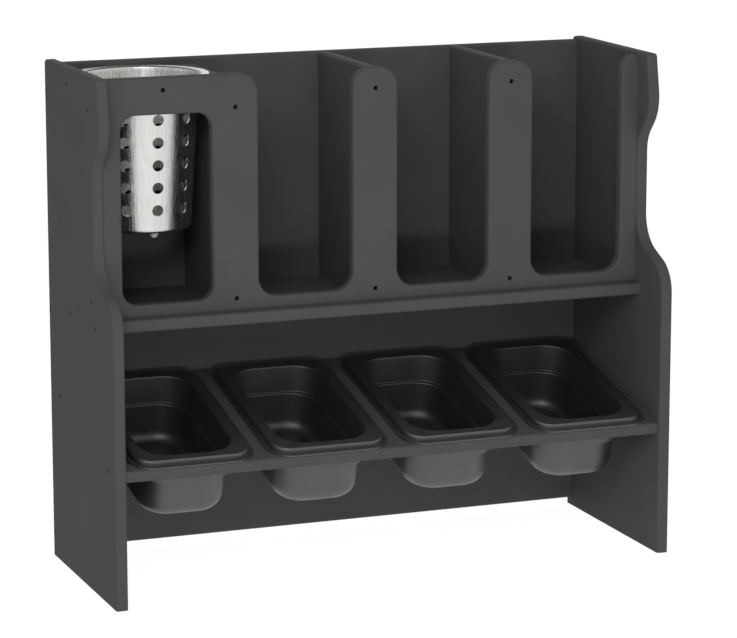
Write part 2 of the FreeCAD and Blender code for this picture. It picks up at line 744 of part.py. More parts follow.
def make_pan(number, x):
    """A food pan seen from the middle of the plane that its flange seats on."""
    body = new_body(f"condiment_pan_{number}")
    wall, rim, step = cell("pan_wall"), cell("pan_rim"), cell("pan_step")
    mouth, ledge, floor_round = cell("pan_inset"), cell("pan_ledge"), cell("pan_floor_round")
    corner, mouth_corner = cell("pan_corner"), cell("pan_mouth_corner")
    upper_draft, lower_draft = cell("pan_upper_draft"), cell("pan_lower_draft")
    step_z = rim - cell("pan_step_depth")
    bottom_z = rim - cell("pan_depth")
    floor_z = bottom_z + wall
    step_inset = mouth + (rim - step_z) * lean(upper_draft)
    step_corner = cell("pan_lower_corner")

    lip = add_pan_section(body, "lip", 0, 0, corner)
    pad(body, "flange", lip, "XY", cell("pan_lip"))
    raised = add_pan_section(body, "raised", 0, ledge, corner - ledge)
    pad(body, "raised_rim", raised, "XY", rim)
    outside = mouth - wall
    over_step = step_z - wall
    under_rim = add_pan_section(body, "under_rim", rim, outside, mouth_corner + wall)
    drafted_pad(body, "upper_walls", under_rim, rim - over_step, upper_draft)
    step_outside = step_inset + wall * lean(upper_draft) + step - wall
    under_step = add_pan_section(body, "under_step", over_step, step_outside, step_corner + wall)
    drafted_pad(body, "lower_walls", under_step, over_step - bottom_z, lower_draft)
    fillet(body, "underside_round", floor_round + wall, lambda edge: lies_at(edge, "Z", bottom_z))

    hollow = new_body(f"{body.Name}_hollow")
    opening = add_pan_section(hollow, "opening", rim, mouth, mouth_corner)
    drafted_pad(hollow, "above_step", opening, rim - step_z, upper_draft)
    fillet(hollow, "step_hollow", cell("pan_step_hollow"), lambda edge: lies_at(edge, "Z", step_z))
    step_foot = add_pan_section(hollow, "step_foot", step_z, step_inset + step, step_corner)
    drafted_pad(hollow, "below_step", step_foot, step_z - floor_z, lower_draft)
    fillet(hollow, "floor_round", floor_round, lambda edge: lies_at(edge, "Z", floor_z))
    half_width, half_length = (side / 2 for side in pan_outline(step_inset + step))

    def is_step_nose(edge):
        inside = keeps_within(edge, "X", half_width) and keeps_within(edge, "Y", half_length)
        return lies_at(edge, "Z", step_z) and inside

    fillet(hollow, "step_nose", cell("pan_step_nose"), is_step_nose)
    take_away(body, "hollowed", hollow)

    groove = new_sketch(body, "groove", "XY", 0)
    riser = ledge + wall
    add_rounded_rectangle(groove, *pan_outline(riser), corner - riser)
    add_rounded_rectangle(groove, *pan_outline(outside), mouth_corner + wall)
    pocket(body, "hollow_rim", groove, "XY", rim - cell("pan_rim_skin"), 1)
    fillet(body, "rim_round", cell("pan_rim_round"), lambda edge: lies_at(edge, "Z", rim))
    y, z = on_slope(pan_middle, board / 2)
    place(body, x, y, z, Vector(1, 0, 0), tilt)
    return body


def make_cylinder():
    """The perforated cylinder seen from its axis and the seat of its rim."""
    body = new_body("flatware_cylinder")
    wall, rim = cell("cup_wall"), cell("cup_rim")
    top, foot = cell("cup_top_radius"), cell("cup_foot_radius")
    bottom = rim - cell("cup_height")
    floor = bottom + wall
    profile = new_sketch(body, "profile", "XZ")
    corners = [
        (size(0), bottom),
        (foot, bottom),
        (top, size(0)),
        (cup_rim_radius, size(0)),
        (cup_rim_radius, rim),
        (top - wall, rim),
        (foot - wall, floor),
        (size(0), floor),
    ]
    add_polygon(profile, corners)
    spin(body, "sheet", profile)
    foot_round, mouth_round = cell("cup_foot_round"), cell("cup_mouth_round")
    fillet(body, "foot_round", foot_round, lambda edge: is_circle(edge, foot, bottom))
    fillet(body, "floor_round", foot_round - wall, lambda edge: is_circle(edge, foot - wall, floor))
    fillet(body, "mouth_round", mouth_round, lambda edge: is_circle(edge, top - wall, rim))
    fillet(body, "neck_round", mouth_round - wall, lambda edge: is_circle(edge, top, 0))
    beyond = new_sketch(body, "beyond_flat", "XY", rim)
    flat = cylinder_cell / 2 - cell("cup_flat_play")
    add_rectangle(beyond, -cup_rim_radius, -flat, -cup_rim_radius, cup_rim_radius)
    pocket(body, "rim_flat", beyond, "XY", rim, -1)

    first_row = bottom + cell("cup_first_row")
    holes = [(0, first_row + cell("cup_hole_pitch") * row) for row in range(HOLE_ROWS)]
    column = drill(body, "column", "XZ", 0, holes, cell("cup_hole_radius"), top, -1)
    pattern(body, "columns", [column], HOLE_COLUMNS)

    root, tip, drop = cell("stud_radius"), cell("stud_tip_radius"), cell("stud_height")
    stud_root = add_stud_section(body, "stud_root", bottom, root)
    stud_tip = add_stud_section(body, "stud_tip", bottom - drop, tip)
    stud = loft(body, "stud", "Additive", [stud_root, stud_tip])
    press_root = add_stud_section(body, "press_root", floor, root - wall)
    press_tip = add_stud_section(body, "press_tip", floor - drop, tip - wall)
    press = loft(body, "press", "Subtractive", [press_root, press_tip])
    pattern(body, "studs", [stud, press], STUD_COUNT)
    place(body, cup_x, cup_y, ring_top)
    return body


def add_stud_section(body, name, z, radius):
    sketch = new_sketch(body, name, "XY", z)
    edge = cell("cup_foot_radius") - cell("cup_foot_round") - cell("stud_margin")
    add_circle(sketch, 0, cell("stud_radius") - edge, radius)
    return sketch


def spin(body, name, profile):
    """Turns a profile all the way round the body's Z axis."""
    feature = new_feature(body, "Revolution", name, profile)
    feature.ReferenceAxis = (profile, ["V_Axis"])
    feature.Angle = 360
    doc.recompute()
    return feature


def pattern(body, name, features, count):
    """Repeats features round the body's Z axis."""
    feature = body.newObject("PartDesign::PolarPattern", f"{body.Name}_{name}")
    feature.Originals = features
    feature.Axis = (origin_feature(body, "Z_Axis"), [""])
    feature.Angle = 360
    feature.Occurrences = count
    body.Tip = feature
    doc.recompute()
    return feature


# ---------------------------------------------------------------- screws


def make_screw(name, length):
    """A trim-head screw: top of the head at the origin, point along +Z."""
    body = new_body(name)
    shank, head = cell("screw_radius"), cell("screw_head_radius")
    profile = new_sketch(body, "profile", "XZ")
    corners = [
        (size(0), size(0)),
        (head, size(0)),
        (head, cell("screw_head")),
        (shank, cell("screw_head")),
        (shank, length - cell("screw_point")),
        (size(0), length),
    ]
    add_polygon(profile, corners)
    spin(body, "turned", profile)
    return body


def make_screw_group(name, screws):
    """One node of equal fasteners; each entry is a screw, its spot, and how it is turned."""
    copies = []
    for number, (screw, spot, axis, angle) in enumerate(screws, start=1):
        copy = doc.addObject("App::Link", f"{name}_{number}")
        copy.LinkedObject = screw
        place(copy, *spot, axis, angle)
        copies.append(copy)
    group = doc.addObject("Part::Compound", name)
    group.Label = name
    group.Links = copies
    return group


def along_x(screw, marks, face, way):
    """Screws driven along X through (y, z) marks from a face."""
    x = face + cell("screw_sink") * way
    return [(screw, (x, y, z), Vector(0, 1, 0), 90 * way) for y, z in marks]


def along_y(screw, marks, face, way):
    """Screws driven along Y through (x, z) marks from a face."""
    y = face + cell("screw_sink") * way
    return [(screw, (x, y, z), Vector(1, 0, 0), -90 * way) for x, z in marks]


long_screw = make_screw("long_screw", cell("screw_length"))
strip_screw = make_screw("strip_screw", cell("strip_screw_length"))
short_screw = make_screw("short_screw", cell("ring_screw_length"))
outer_face = inner + board
ring_divider_face = divider_x[0] + board / 2

left_screws = along_x(long_screw, side_screws, -outer_face, 1)
left_screws += along_x(strip_screw, strip_screws, -outer_face, 1)
left_screws += along_x(short_screw, [ring_screw], -outer_face, 1)
right_screws = along_x(long_screw, side_screws, outer_face, -1)
right_screws += along_x(strip_screw, strip_screws, outer_face, -1)
front_screws = along_y(long_screw, upright_screws, fascia_front, 1)
front_screws += along_y(short_screw, [ring_fascia_screw], fascia_front, 1)
rear_screws = along_y(long_screw, upright_screws, rear, -1)
rear_screws += along_y(short_screw, [ring_rear_screw], rear, -1)

nodes = [
    make_side_panel("left_side_panel", -1, side_screws + strip_screws + [ring_screw]),
    make_side_panel("right_side_panel", 1, side_screws + strip_screws),
    make_back_panel(),
    make_upper_shelf(),
    make_pan_shelf(),
    make_fascia(),
    make_ring_shelf(),
    make_cylinder(),
    make_screw_group("left_side_screws", left_screws),
    make_screw_group("right_side_screws", right_screws),
    make_screw_group("fascia_screws", front_screws),
    make_screw_group("rear_screws", rear_screws),
    make_screw_group("divider_screw", along_x(short_screw, [ring_screw], ring_divider_face, -1)),
]
for number, (x, heights) in enumerate(zip(divider_x, divider_screw_z), start=1):
    nodes.append(make_divider(number, x, heights))
for number, x in enumerate(pan_x, start=1):
    nodes.append(make_pan(number, x))
doc.recompute()

# ---------------------------------------------------------------- checks and export

for item in doc.Objects:
    if "Invalid" in item.State or "Error" in item.State:
        raise RuntimeError(f"{item.Label} failed: {item.State}")
for node in nodes:
    if node.Shape.isNull() or not node.Shape.isValid() or not node.Shape.Solids:
        raise RuntimeError(f"{node.Label} has no valid solid")

os.makedirs("parts", exist_ok=True)
for node in nodes:
    node.Shape.exportStep(f"parts/{node.Label}.step")
    box = node.Shape.BoundBox
    print(f"{node.Label}: {len(node.Shape.Solids)} solids, {node.Shape.Volume / 1000:.1f} cm3")
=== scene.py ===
import math

import bmesh
import bpy
from bpy.props import FloatProperty, FloatVectorProperty, PointerProperty
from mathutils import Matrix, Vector


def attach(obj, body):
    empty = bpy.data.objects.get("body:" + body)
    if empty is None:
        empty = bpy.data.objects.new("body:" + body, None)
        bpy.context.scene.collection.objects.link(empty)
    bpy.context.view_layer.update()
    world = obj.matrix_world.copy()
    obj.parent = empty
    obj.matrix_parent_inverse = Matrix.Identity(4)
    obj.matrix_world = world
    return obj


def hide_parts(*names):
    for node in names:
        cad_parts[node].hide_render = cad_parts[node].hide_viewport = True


# The boards, the pans and the cylinder keep the solids of the frame and get their finishes here.
# The screws are modelled anew, with a socket, a thread and a point.
# Sizes are in metres and angles in degrees.

bl_info = {
    "name": "Condiment station looks",
    "version": (1, 0, 0),
    "blender": (4, 5, 0),
    "location": "3D View > Sidebar > Station",
    "description": "Finishes, screws and stage for a counter-top condiment cabinet",
    "category": "Object",
}

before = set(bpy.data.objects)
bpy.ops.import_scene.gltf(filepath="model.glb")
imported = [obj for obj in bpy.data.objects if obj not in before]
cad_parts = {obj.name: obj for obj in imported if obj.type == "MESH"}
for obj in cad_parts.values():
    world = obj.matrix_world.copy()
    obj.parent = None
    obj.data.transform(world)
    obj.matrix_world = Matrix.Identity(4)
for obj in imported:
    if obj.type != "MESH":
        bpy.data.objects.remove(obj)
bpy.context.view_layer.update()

BOARDS = [
    "left_side_panel",
    "right_side_panel",
    "back_panel",
    "upper_shelf",
    "lower_shelf",
    "front_fascia",
    "cylinder_shelf",
    "divider_1",
    "divider_2",
    "divider_3",
]
PANS = ["condiment_pan_1", "condiment_pan_2", "condiment_pan_3", "condiment_pan_4"]
CYLINDER = "flatware_cylinder"
SCREWS = ["left_side_screws", "right_side_screws", "fascia_screws", "rear_screws", "divider_screw"]

MM = 0.001
WELD = 0.001 * MM
NEAR = 0.01 * MM

# Patterns of the finishes.  Peel, grain, brushing and oxide clouds are finer on the real surfaces.
# They are drawn as coarse as they need to be to show.
PEEL_SIZE = 1.1 * MM
PEEL_HEIGHT = 0.05 * MM
MOTTLE_SIZE = 45.0 * MM
GRAIN_SIZE = 0.9 * MM
GRAIN_HEIGHT = 0.02 * MM
WEAR_SIZE = 14.0 * MM
STREAK_SIZE = 1.2 * MM
STREAK_HEIGHT = 0.16 * MM
STREAK_SQUEEZE = 0.02
CLOUD_SIZE = 0.7 * MM
NOISE_LOW = 0.3
NOISE_HIGH = 0.7

# Places on the cylinder where its finish changes, and where a painted shade line and a painted
# highlight band go into its colour.
CYLINDER_X = -185.35 * MM
CYLINDER_Y = 27.05 * MM
CYLINDER_FLOOR = 295.5 * MM
FOOT_ROUGHER = 0.5
# A painted shade line: a thin ring of the colour darkened inside the turned-out rim, where shade falls
# in the bend.
PAINTED_SHADE_LINE_HEIGHT = 423.9 * MM
PAINTED_SHADE_LINE_RADIUS = 48.6 * MM
PAINTED_SHADE_LINE_BAND = 1.6 * MM
PAINTED_SHADE_LINE_DARKENING = 0.85
# A painted highlight: the colour of the wall is brightened in a band round its top.
PAINTED_HIGHLIGHT_HEIGHT = 422.7 * MM
PAINTED_HIGHLIGHT_BAND = 1.2 * MM
PAINTED_HIGHLIGHT_GAIN = 0.2

# Details of a screw that its settings leave out.
ROUND_SIDES = 28
RIM_SEGMENTS = 2
HEAD_TOP_ROUND = 0.3 * MM
HEAD_FOOT_ROUND = 0.4 * MM
SOCKET_OVERCUT = 1.0 * MM
PART_OVERLAP = 0.2 * MM
NECK_SHARE = 0.3
NECK_LEAST = 0.6 * MM
THREAD_RUN_IN = 0.4 * MM
THREAD_RUN_OUT = 0.1 * MM
THREAD_SECTION = 0.36 * MM
THREAD_STAND_OFF = 0.08 * MM
THREAD_STEPS = 18
THREAD_SPARE_TURN = 0.05
SMOOTH_ANGLE = 35.0

# Stage.
WHITE = "#FFFFFF"
FLOOR_SIZE = 12.0
FLOOR_GLOW_SEEN = 1.09
FLOOR_GLOW_SEEN_SHARE = 0.9
FLOOR_GLOW = 0.75
FLOOR_GLOW_SHARE = 0.8
CARD_COLOUR = "#202020"
CARD_SIZE = 0.8
CARD_PLACE = (-1.0, 0.3, 0.45)
KEY_LAMP_PLACE = (-0.8, -1.4, 0.95)
KEY_LAMP_AIM = (0.05, -0.3, 0.0)
KEY_LAMP_SIZE = 0.5
LOW_LAMP_PLACE = (-0.2, -1.2, 0.04)
LOW_LAMP_AIM = (0.05, 0.0, 0.04)
LOW_LAMP_SIZE = 0.15
CAMERA_PLACE = (-0.9657, -2.5029, 0.7499)
CAMERA_TILT_DOWN = 11.426
CAMERA_TURN_RIGHT = 21.235
CAMERA_SENSOR = 36.0
CAMERA_NEAREST = 0.05
CAMERA_FURTHEST = 60.0


# ---------------------------------------------------------------- colours and nodes


def linear(code):
    """An sRGB hex colour as the linear colour, with full alpha, that the shader nodes take."""
    channels = [int(code[start : start + 2], 16) / 255 for start in (1, 3, 5)]
    return (*[c / 12.92 if c <= 0.04045 else ((c + 0.055) / 1.055) ** 2.4 for c in channels], 1.0)


def add(tree, kind, values=None, links=None, **settings):
    """Adds one node: settings are its own options, values its sockets, links what feeds them."""
    node = tree.nodes.new(kind)
    for name, value in settings.items():
        setattr(node, name, value)
    for socket, value in (values or {}).items():
        node.inputs[socket].default_value = value
    for socket, source in (links or {}).items():
        tree.links.new(source, node.inputs[socket])
    return node


def clear_tree(owner, output_kind):
    """The node tree of a material or a world with nothing in it but its output."""
    owner.use_nodes = True
    tree = owner.node_tree
    tree.nodes.clear()
    return tree, tree.nodes.new(output_kind)


def new_material(name):
    """A material with nothing but its output, and its node tree."""
    material = bpy.data.materials.new(name)
    tree, output = clear_tree(material, "ShaderNodeOutputMaterial")
    return material, tree, output


def dress(piece, material):
    """Gives a piece one material."""
    piece.data.materials.clear()
    piece.data.materials.append(material)


# ---------------------------------------------------------------- settings


class StationFinishes(bpy.types.PropertyGroup):
    """Colours of the cabinet"""

    board_colour: FloatVectorProperty(
        name="Boards",
        description="Colour of the plastic sheet",
        default=linear("#515151"),
        size=4,
        min=0.0,
        max=1.0,
        subtype="COLOR",
    )
    pan_colour: FloatVectorProperty(
        name="Pans",
        description="Colour of the moulded pans",
        default=linear("#1C1C1C"),
        size=4,
        min=0.0,
        max=1.0,
        subtype="COLOR",
    )
    steel_colour: FloatVectorProperty(
        name="Cylinder",
        description="Colour of the brushed steel",
        default=linear("#DAD9D7"),
        size=4,
        min=0.0,
        max=1.0,
        subtype="COLOR",
    )
    screw_colour: FloatVectorProperty(
        name="Screws",
        description="Colour of the black oxide",
        default=linear("#2A2A2A"),
        size=4,
        min=0.0,
        max=1.0,
        subtype="COLOR",
    )


class StationScrews(bpy.types.PropertyGroup):
    """Sizes of a screw"""

    head_radius: FloatProperty(
        name="Head radius",
        description="Radius of the head",
        default=2.0 * MM,
        unit="LENGTH",
    )
    head_depth: FloatProperty(
        name="Head depth",
        description="Depth of the head along the screw",
        default=2.2 * MM,
        unit="LENGTH",
    )
    socket_width: FloatProperty(
        name="Socket width",
        description="Side of the square socket",
        default=1.8 * MM,
        unit="LENGTH",
    )
    socket_depth: FloatProperty(
        name="Socket depth",
        description="Depth of the square socket",
        default=1.3 * MM,
        unit="LENGTH",
    )
    neck_radius: FloatProperty(
        name="Neck radius",
        description="Radius between head and thread",
        default=1.25 * MM,
        unit="LENGTH",
    )
    core_radius: FloatProperty(
        name="Core radius",
        description="Radius under the thread",
        default=1.15 * MM,
        unit="LENGTH",
    )
    point_length: FloatProperty(
        name="Point length",
        description="Length of the tapered point",
        default=3.0 * MM,
        unit="LENGTH",
    )
    pitch: FloatProperty(
        name="Pitch",
        description="Distance from one turn of the thread to the next",
        default=1.1 * MM,
        unit="LENGTH",
    )


class StationStage(bpy.types.PropertyGroup):
    """Light and lens"""

    world_level: FloatProperty(
        name="Even light",
        description="Strength of the light from all round",
        default=0.5,
    )
    key_lamp_power: FloatProperty(
        name="Key lamp",
        description="Power of the lamp high in front",
        default=6.5,
        unit="POWER",
    )
    low_lamp_power: FloatProperty(
        name="Low lamp",
        description="Power of the lamp that reaches under the pans",
        default=3.1,
        unit="POWER",
    )
    lens: FloatProperty(
        name="Lens",
        description="Focal length of the camera",
        default=155.92,
        unit="CAMERA",
    )


# ---------------------------------------------------------------- finishes


def make_polyethylene(colour):
    """HDPE sheet, extruded with a matte orange-peel face: broad soft highlight, faint mottling."""
    material, tree, output = new_material("hdpe_sheet_matte_extruded")
    place = add(tree, "ShaderNodeTexCoord").outputs["Object"]
    peel = add(
        tree,
        "ShaderNodeTexNoise",
        {"Scale": 1 / PEEL_SIZE, "Detail": 3.0, "Roughness": 0.6},
        {"Vector": place},
    )
    bump = add(
        tree,
        "ShaderNodeBump",
        {"Strength": 0.25, "Distance": PEEL_HEIGHT},
        {"Height": peel.outputs["Fac"]},
    )
    mottle = add(
        tree,
        "ShaderNodeTexNoise",
        {"Scale": 1 / MOTTLE_SIZE, "Detail": 2.0},
        {"Vector": place},
    )
    shade = add(
        tree,
        "ShaderNodeMapRange",
        {"From Min": NOISE_LOW, "From Max": NOISE_HIGH, "To Min": 0.96, "To Max": 1.04},
        {"Value": mottle.outputs["Fac"]},
    )
    tint = add(
        tree,
        "ShaderNodeVectorMath",
        {0: colour[:3]},
        {"Scale": shade.outputs["Result"]},
        operation="SCALE",
    )
    shader = add(
        tree,
        "ShaderNodeBsdfPrincipled",
        {"Roughness": 0.7, "IOR": 1.5, "Specular IOR Level": 0.05},
        {"Base Color": tint.outputs["Vector"], "Normal": bump.outputs["Normal"]},
    )
    tree.links.new(shader.outputs["BSDF"], output.inputs["Surface"])
    return material


def make_polycarbonate(colour):
    """Polycarbonate, injection moulded in black: satin, with a clear soft highlight."""
    material, tree, output = new_material("polycarbonate_black_moulded")
    place = add(tree, "ShaderNodeTexCoord").outputs["Object"]
    grain = add(
        tree,
        "ShaderNodeTexNoise",
        {"Scale": 1 / GRAIN_SIZE, "Detail": 2.0},
        {"Vector": place},
    )
    bump = add(
        tree,
        "ShaderNodeBump",
        {"Strength": 0.12, "Distance": GRAIN_HEIGHT},
        {"Height": grain.outputs["Fac"]},
    )
    wear = add(
        tree,
        "ShaderNodeTexNoise",
        {"Scale": 1 / WEAR_SIZE, "Detail": 3.0},
        {"Vector": place},
    )
    rough = add(
        tree,
        "ShaderNodeMapRange",
        {"From Min": NOISE_LOW, "From Max": NOISE_HIGH, "To Min": 0.44, "To Max": 0.52},
        {"Value": wear.outputs["Fac"]},
    )
    shader = add(
        tree,
        "ShaderNodeBsdfPrincipled",
        {"Base Color": colour[:], "IOR": 1.58, "Specular IOR Level": 1.0},
        {"Roughness": rough.outputs["Result"], "Normal": bump.outputs["Normal"]},
    )
    tree.links.new(shader.outputs["BSDF"], output.inputs["Surface"])
    return material


def make_stainless(colour):
    """Stainless steel, brushed upright: fine streaks, a painted shade line round the rim, a painted
    highlight band round the top of the wall, matte feet.
    """
    material, tree, output = new_material("stainless_steel_brushed")
    place = add(tree, "ShaderNodeTexCoord").outputs["Object"]
    height = add(tree, "ShaderNodeSeparateXYZ", None, {"Vector": place}).outputs["Z"]

    # Brushing: noise drawn out along the height, which lifts, dulls and shades the surface.
    streak_place = add(
        tree,
        "ShaderNodeMapping",
        {"Scale": (1.0, 1.0, STREAK_SQUEEZE)},
        {"Vector": place},
    )
    streaks = add(
        tree,
        "ShaderNodeTexNoise",
        {"Scale": 1 / STREAK_SIZE, "Detail": 4.0, "Roughness": 0.7},
        {"Vector": streak_place.outputs["Vector"]},
    )
    bump = add(
        tree,
        "ShaderNodeBump",
        {"Strength": 1.0, "Distance": STREAK_HEIGHT},
        {"Height": streaks.outputs["Fac"]},
    )
    rough = add(
        tree,
        "ShaderNodeMapRange",
        {"From Min": NOISE_LOW, "From Max": NOISE_HIGH, "To Min": 0.18, "To Max": 0.36},
        {"Value": streaks.outputs["Fac"]},
    )
    shade = add(
        tree,
        "ShaderNodeMapRange",
        {"From Min": 0.35, "From Max": 0.65, "To Min": 0.86, "To Max": 1.06},
        {"Value": streaks.outputs["Fac"]},
    )

    # Feet: pressed out of the floor and never brushed, so rougher than the wall.
    at_foot = add(
        tree,
        "ShaderNodeMath",
        {1: CYLINDER_FLOOR},
        {0: height},
        operation="LESS_THAN",
    )
    rough_foot = add(
        tree,
        "ShaderNodeMath",
        {1: FOOT_ROUGHER},
        {0: at_foot.outputs["Value"], 2: rough.outputs["Result"]},
        operation="MULTIPLY_ADD",
    )

    # Mouth: a painted highlight, a band where the colour is brightened round the top of the wall, and
    # a painted shade line, a dark ring in the colour where the rim is turned out.
    painted_highlight_band = add(
        tree,
        "ShaderNodeMath",
        {1: PAINTED_HIGHLIGHT_HEIGHT, 2: PAINTED_HIGHLIGHT_BAND},
        {0: height},
        operation="COMPARE",
    )
    # The painted highlight lifts the colour by its gain inside the band.
    painted_highlight_level = add(
        tree,
        "ShaderNodeMath",
        {0: PAINTED_HIGHLIGHT_GAIN, 2: 1.0},
        {1: painted_highlight_band.outputs["Value"]},
        operation="MULTIPLY_ADD",
    )
    from_axis = add(
        tree,
        "ShaderNodeMapping",
        {"Location": (-CYLINDER_X, -CYLINDER_Y, 0.0), "Scale": (1.0, 1.0, 0.0)},
        {"Vector": place},
    )
    radius = add(
        tree,
        "ShaderNodeVectorMath",
        None,
        {"Vector": from_axis.outputs["Vector"]},
        operation="LENGTH",
    )
    # Painted shade: a ring at the rim's radius, above its height, where the colour is darkened.
    painted_shade_ring = add(
        tree,
        "ShaderNodeMath",
        {1: PAINTED_SHADE_LINE_RADIUS, 2: PAINTED_SHADE_LINE_BAND},
        {0: radius.outputs["Value"]},
        operation="COMPARE",
    )
    at_top = add(
        tree,
        "ShaderNodeMath",
        {1: PAINTED_SHADE_LINE_HEIGHT},
        {0: height},
        operation="GREATER_THAN",
    )
    painted_shade_line = add(
        tree,
        "ShaderNodeMath",
        None,
        {0: painted_shade_ring.outputs["Value"], 1: at_top.outputs["Value"]},
        operation="MULTIPLY",
    )
    # The painted shade line darkens the colour and the painted highlight band brightens it.
    painted_shade_and_highlight = add(
        tree,
        "ShaderNodeMath",
        {1: -PAINTED_SHADE_LINE_DARKENING},
        {0: painted_shade_line.outputs["Value"], 2: painted_highlight_level.outputs["Value"]},
        operation="MULTIPLY_ADD",
    )
    level = add(
        tree,
        "ShaderNodeMath",
        None,
        {0: shade.outputs["Result"], 1: painted_shade_and_highlight.outputs["Value"]},
        operation="MULTIPLY",
    )
    tint = add(
        tree,
        "ShaderNodeVectorMath",
        {0: colour[:3]},
        {"Scale": level.outputs["Value"]},
        operation="SCALE",
    )
    shader = add(
        tree,
        "ShaderNodeBsdfPrincipled",
        {"Metallic": 1.0},
        {
            "Base Color": tint.outputs["Vector"],
            "Roughness": rough_foot.outputs["Value"],
            "Normal": bump.outputs["Normal"],
        },
    )
    tree.links.new(shader.outputs["BSDF"], output.inputs["Surface"])
    return material


def make_black_steel(colour):
    """Case-hardened steel screw, black oxide: dull, nearly black, with a cloudy metal sheen."""
    material, tree, output = new_material("steel_screw_black_oxide")
    place = add(tree, "ShaderNodeTexCoord").outputs["Object"]
    clouds = add(
        tree,
        "ShaderNodeTexNoise",
        {"Scale": 1 / CLOUD_SIZE, "Detail": 3.0},
        {"Vector": place},
    )
    rough = add(
        tree,
        "ShaderNodeMapRange",
        {"From Min": NOISE_LOW, "From Max": NOISE_HIGH, "To Min": 0.42, "To Max": 0.6},
        {"Value": clouds.outputs["Fac"]},
    )
    shade = add(
        tree,
        "ShaderNodeMapRange",
        {"From Min": NOISE_LOW, "From Max": NOISE_HIGH, "To Min": 0.8, "To Max": 1.2},
        {"Value": clouds.outputs["Fac"]},
    )
    tint = add(
        tree,
        "ShaderNodeVectorMath",
        {0: colour[:3]},
        {"Scale": shade.outputs["Result"]},
        operation="SCALE",
    )
    shader = add(
        tree,
        "ShaderNodeBsdfPrincipled",
        {"Metallic": 0.8},
        {"Base Color": tint.outputs["Vector"], "Roughness": rough.outputs["Result"]},
    )
    tree.links.new(shader.outputs["BSDF"], output.inputs["Surface"])
    return material


# ---------------------------------------------------------------- shaping by hand


def pick(pieces):
    """Selects some pieces and nothing else, with the first of them active."""
    bpy.ops.object.select_all(action="DESELECT")
    for piece in pieces:
        piece.select_set(True)
    bpy.context.view_layer.objects.active = pieces[0]


def open_mesh(piece):
    """Opens one piece for editing, with nothing selected, and gives its editable mesh."""
    pick([piece])
    bpy.ops.object.mode_set(mode="EDIT")
    bpy.ops.mesh.select_mode(type="EDGE")
    bpy.ops.mesh.select_all(action="DESELECT")
    return bmesh.from_edit_mesh(piece.data)


def pick_edges(piece, wanted):
    """Opens one piece for editing, with the edges selected that a test picks."""
    shape = open_mesh(piece)
    for edge in shape.edges:
        edge.select = wanted(edge)
    bmesh.update_edit_mesh(piece.data)


def close_mesh():
    """Ends the editing of a piece."""
    bpy.ops.object.mode_set(mode="OBJECT")


def round_rim(piece, height, width):
    """Rounds the edges of a piece that lie at one height."""
    pick_edges(piece, lambda edge: all(abs(vert.co.z - height) < NEAR for vert in edge.verts))
    bpy.ops.mesh.bevel(offset=width, segments=RIM_SEGMENTS)
    close_mesh()


def settle(piece):
    """Puts a piece's place into its mesh, so that its object stands at the origin."""
    pick([piece])
    bpy.ops.object.transform_apply(location=True, rotation=True, scale=True)
    return piece


def join(pieces, name):
    """Makes one piece of several, or names the only one."""
    pick(pieces)
    if len(pieces) > 1:
        bpy.ops.object.join()
    joined = bpy.context.object
    joined.name = name
    return joined


def add_round(radius, end_radius, start, end):
    """A round length of metal along Z, tapered where its two radii differ."""
    bpy.ops.object.select_all(action="DESELECT")
    bpy.ops.mesh.primitive_cone_add(
        vertices=ROUND_SIDES,
        radius1=radius,
        radius2=end_radius,
        depth=end - start,
        location=(0.0, 0.0, (start + end) / 2),
    )
    return settle(bpy.context.object)


# ---------------------------------------------------------------- screws


def model_head(sizes):
    """A trim head with softened edges and a square socket."""
    head = add_round(sizes.head_radius, sizes.head_radius, 0.0, sizes.head_depth)
    round_rim(head, 0.0, HEAD_TOP_ROUND)
    round_rim(head, sizes.head_depth, HEAD_FOOT_ROUND)
    cut_length = sizes.socket_depth + SOCKET_OVERCUT
    bpy.ops.mesh.primitive_cube_add(size=1.0, location=(0.0, 0.0, sizes.socket_depth - cut_length / 2))
    cutter = bpy.context.object
    bpy.ops.transform.resize(value=(sizes.socket_width, sizes.socket_width, cut_length))
    settle(cutter)
    socket = head.modifiers.new("socket", "BOOLEAN")
    socket.operation = "DIFFERENCE"
    socket.solver = "EXACT"
    socket.object = cutter
    pick([head])
    bpy.ops.object.modifier_apply(modifier="socket")
    bpy.data.objects.remove(cutter)
    return head


def cap_thread(thread, at_end):
    """Closes the open end of a thread that lies at the heights which a test picks."""
    pick_edges(thread, lambda edge: edge.is_boundary and at_end(edge.verts[0].co.z))
    bpy.ops.mesh.edge_face_add()
    close_mesh()


def model_thread(sizes, start, end):
    """The raised helix of a screw, in whole turns, closed at both ends."""
    bpy.ops.object.select_all(action="DESELECT")
    bpy.ops.mesh.primitive_circle_add(
        vertices=3,
        radius=THREAD_SECTION,
        location=(sizes.core_radius + THREAD_STAND_OFF, 0.0, start),
        rotation=(math.radians(90.0), math.radians(90.0), 0.0),
    )
    thread = settle(bpy.context.object)
    helix = thread.modifiers.new("helix", "SCREW")
    helix.screw_offset = sizes.pitch
    helix.iterations = int((end - start) / sizes.pitch - THREAD_SPARE_TURN)
    helix.steps = THREAD_STEPS
    helix.render_steps = THREAD_STEPS
    bpy.ops.object.modifier_apply(modifier="helix")
    middle = (start + end) / 2
    cap_thread(thread, lambda height: height < middle)
    cap_thread(thread, lambda height: height >= middle)
    open_mesh(thread)
    bpy.ops.mesh.select_all(action="SELECT")
    bpy.ops.mesh.normals_make_consistent(inside=False)
    close_mesh()
    return thread


